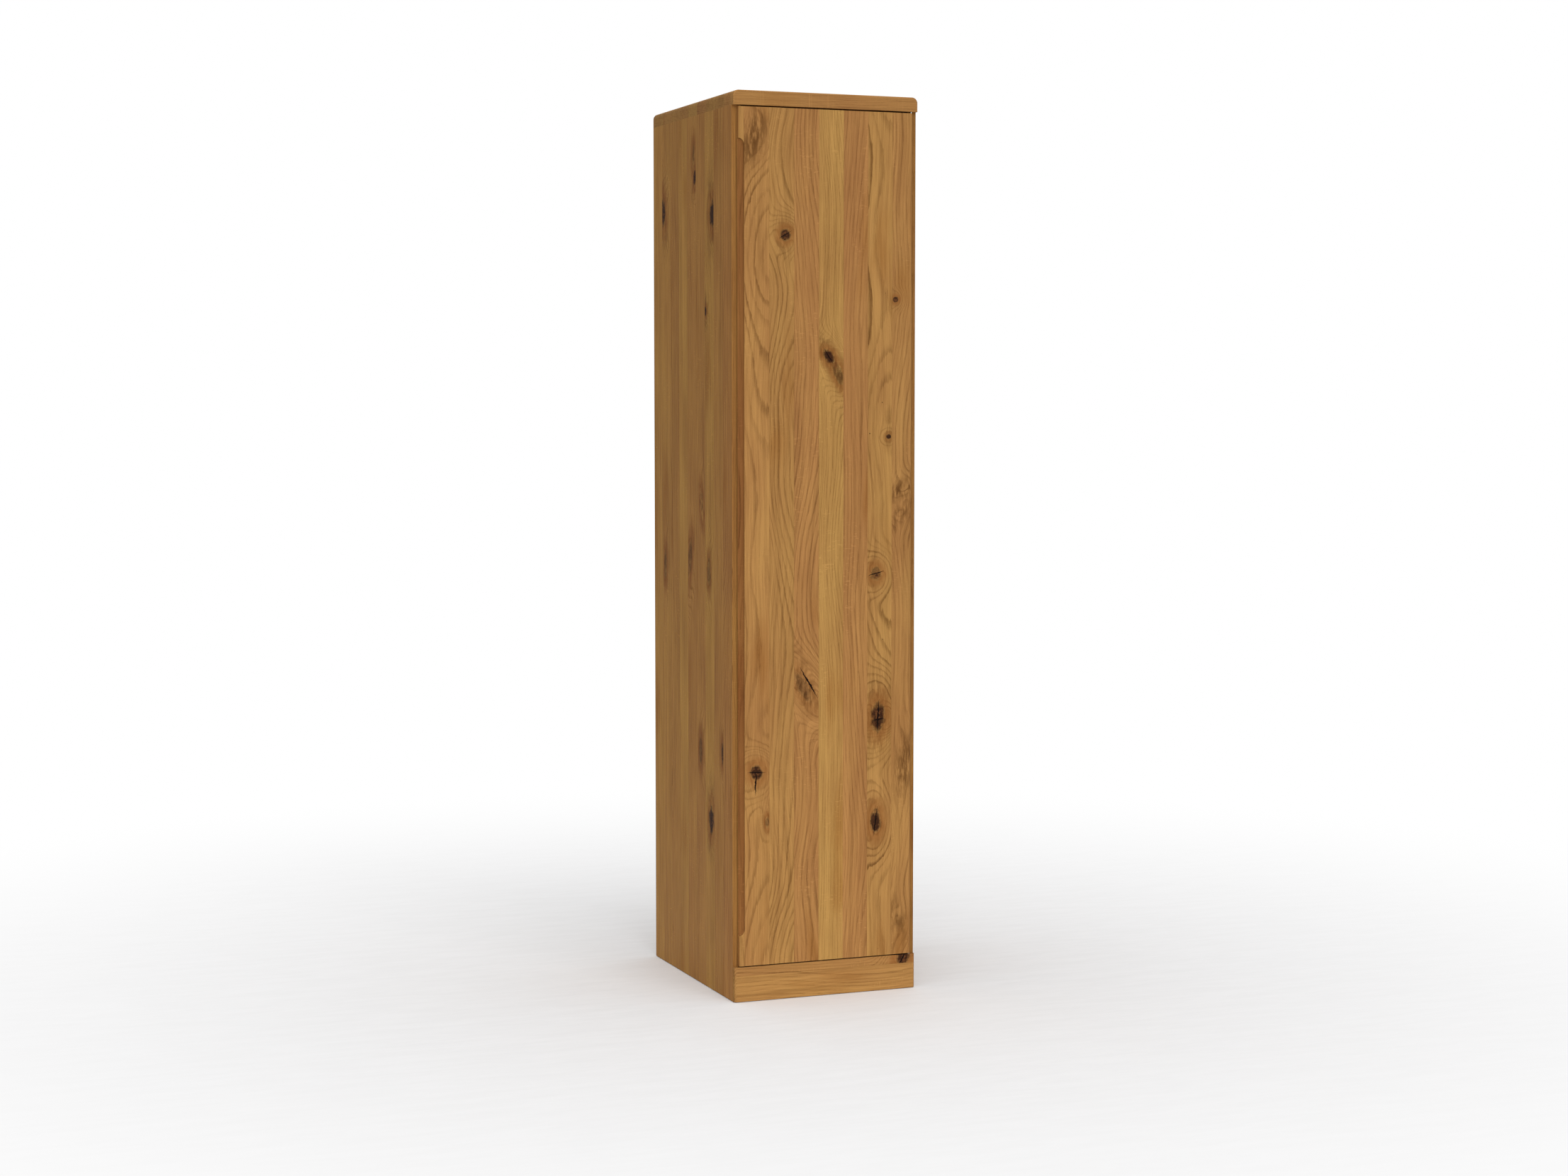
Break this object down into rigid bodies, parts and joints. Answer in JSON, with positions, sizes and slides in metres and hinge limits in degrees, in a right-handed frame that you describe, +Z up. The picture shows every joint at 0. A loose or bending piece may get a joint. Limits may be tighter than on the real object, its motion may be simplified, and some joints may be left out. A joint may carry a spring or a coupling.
{
  "type": "pantry cabinet",
  "caption": "Tall narrow solid oak pantry cabinet with a single flush door, a long routed finger recess, plinth and adjustable shelves.",
  "frame": {"origin": "on the floor under the middle of the cabinet's outline", "axes": "+Z up, the door faces -Y, +X to the viewer's right when facing the door"},
  "size_m": [0.48, 0.595, 2.2],
  "materials": {
    "oak_show": "oiled oak, satin",
    "oak_inner": "oiled oak, satin",
    "oak_shelf": "oiled oak, satin",
    "oak_back": "oak veneer, matt",
    "beech": "bare beech",
    "black_plastic": "matt",
    "nylon": "matt brown nylon",
    "felt": "pressed felt",
    "magnet": "ground steel poles",
    "bright_steel": "nickel plated",
    "zinc_steel": "zinc plated",
    "zinc_cast": "die-cast zinc",
    "dark_steel": "bronzed steel"
  },
  "bodies": {
    "carcase": {"back_panel_lower": "oak_back", "back_panel_screws": "zinc_steel", "back_panel_upper": "oak_back", "bottom_panel": "oak_inner", "bracket_screws": "zinc_steel", "cam_bolts": "zinc_steel", "cam_locks": "zinc_cast", "carcase_leaf_lower": "dark_steel", "carcase_leaf_screws": "dark_steel", "carcase_leaf_upper": "dark_steel", "catch_housing": "black_plastic", "catch_magnet": "magnet", "catch_screws": "zinc_steel", "corner_blocks": "oak_inner", "door_stop_rail": "oak_inner", "dowels": "beech", "fixed_shelf": "oak_inner", "glide_pads": "nylon", "pivot_pins": "bright_steel", "plinth_board": "oak_show", "rear_plinth_rail": "oak_inner", "shelf_pegs": "bright_steel", "side_panel_left": "oak_show", "side_panel_right": "oak_show", "thrust_washer": "nylon", "top_board": "oak_show", "wall_bracket": "zinc_steel"},
    "door": {"door_panel": "oak_show", "door_batten_lower": "oak_inner", "door_batten_middle": "oak_inner", "door_batten_upper": "oak_inner", "batten_screws": "zinc_steel", "door_leaf_lower": "dark_steel", "door_leaf_upper": "dark_steel", "door_leaf_screws": "dark_steel", "strike_plate": "bright_steel", "strike_screw": "zinc_steel", "door_bumpers": "felt"},
    "loose_shelf_1": {"shelf_1": "oak_shelf"},
    "loose_shelf_2": {"shelf_2": "oak_shelf"},
    "loose_shelf_3": {"shelf_3": "oak_shelf"},
    "loose_shelf_4": {"shelf_4": "oak_shelf"}
  },
  "joints": [
    {"name": "door_hinge", "type": "hinge", "parent": "carcase", "child": "door", "pos_m": [0.2242, -0.2929, 0], "axis": [0, 0, 1], "range_deg": [0, 110]},
    {"name": "shelf_1_lift", "type": "slide", "parent": "carcase", "child": "loose_shelf_1", "axis": [0, 0, 1], "range_m": [0, 0.03]},
    {"name": "shelf_2_lift", "type": "slide", "parent": "carcase", "child": "loose_shelf_2", "axis": [0, 0, 1], "range_m": [0, 0.03]},
    {"name": "shelf_3_lift", "type": "slide", "parent": "carcase", "child": "loose_shelf_3", "axis": [0, 0, 1], "range_m": [0, 0.03]},
    {"name": "shelf_4_lift", "type": "slide", "parent": "carcase", "child": "loose_shelf_4", "axis": [0, 0, 1], "range_m": [0, 0.03]}
  ]
}
